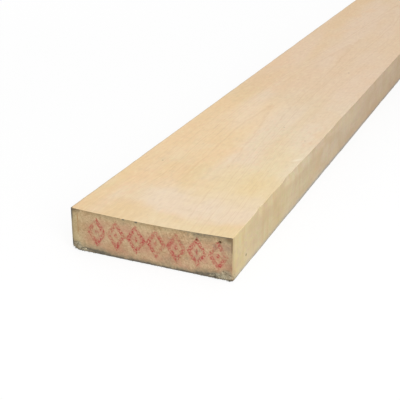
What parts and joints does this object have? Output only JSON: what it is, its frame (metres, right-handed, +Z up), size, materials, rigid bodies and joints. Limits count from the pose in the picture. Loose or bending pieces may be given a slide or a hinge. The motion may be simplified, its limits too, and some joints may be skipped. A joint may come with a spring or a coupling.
{
  "type": "sawn timber plank",
  "caption": "Sawn softwood plank of rectangular section, slightly hollow on its top face, with a worn near end and a plain square far end.",
  "frame": {"origin": "middle of the plank's underside, which lies on the floor", "axes": "+X along the length, from the near end, which is worn and has two nail holes, to the far end; +Y across the width, to the left of someone who looks along +X; +Z up through the thickness"},
  "size_m": [2.4, 0.175, 0.047],
  "materials": {
    "sawn_softwood": "matte"
  },
  "bodies": {
    "root": {"plank": "sawn_softwood"}
  },
  "joints": []
}
